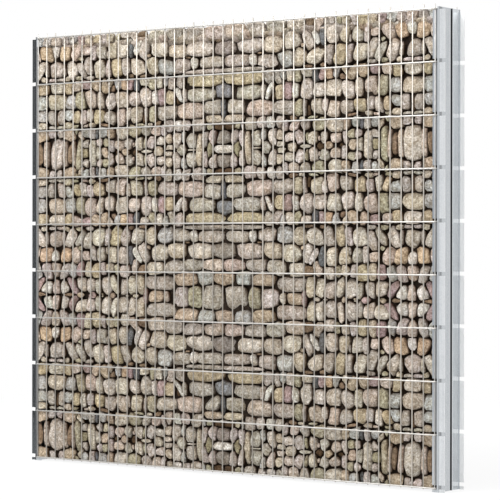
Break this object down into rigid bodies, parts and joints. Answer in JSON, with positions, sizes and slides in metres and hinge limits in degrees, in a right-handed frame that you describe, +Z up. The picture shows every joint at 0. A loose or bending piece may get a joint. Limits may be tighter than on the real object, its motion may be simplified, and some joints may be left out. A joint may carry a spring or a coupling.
{
  "type": "gabion fence bay",
  "caption": "Straight gabion fence bay: welded wire mats hooked into notched folded steel posts, tied through a fill of rounded stones; a solid-looking garden screen.",
  "frame": {"origin": "middle of the bay on the ground, halfway through the fence", "axes": "+X along the fence, +Y from the front face to the rear face, +Z up"},
  "size_m": [2.078, 0.17, 1.833],
  "materials": {
    "galvanised_sheet": "hot-dip galvanised, satin",
    "galvanised_wire": "bright galvanised",
    "stone": "matt, water-worn"
  },
  "bodies": {
    "root": {"left_inner_channel": "galvanised_sheet", "left_front_angle": "galvanised_sheet", "left_rear_angle": "galvanised_sheet", "right_inner_channel": "galvanised_sheet", "right_front_angle": "galvanised_sheet", "right_rear_angle": "galvanised_sheet", "front_mat": "galvanised_wire", "rear_mat": "galvanised_wire", "fill_lift_1": "stone", "fill_lift_2": "stone", "fill_lift_3": "stone", "fill_lift_4": "stone", "fill_lift_5": "stone", "fill_lift_6": "stone", "fill_lift_7": "stone", "fill_lift_8": "stone", "fill_lift_9": "stone", "spacer_row_1": "galvanised_wire", "spacer_row_2": "galvanised_wire", "spacer_row_3": "galvanised_wire", "spacer_row_4": "galvanised_wire", "spacer_row_5": "galvanised_wire", "spacer_row_6": "galvanised_wire", "spacer_row_7": "galvanised_wire", "spacer_row_8": "galvanised_wire"}
  },
  "joints": []
}
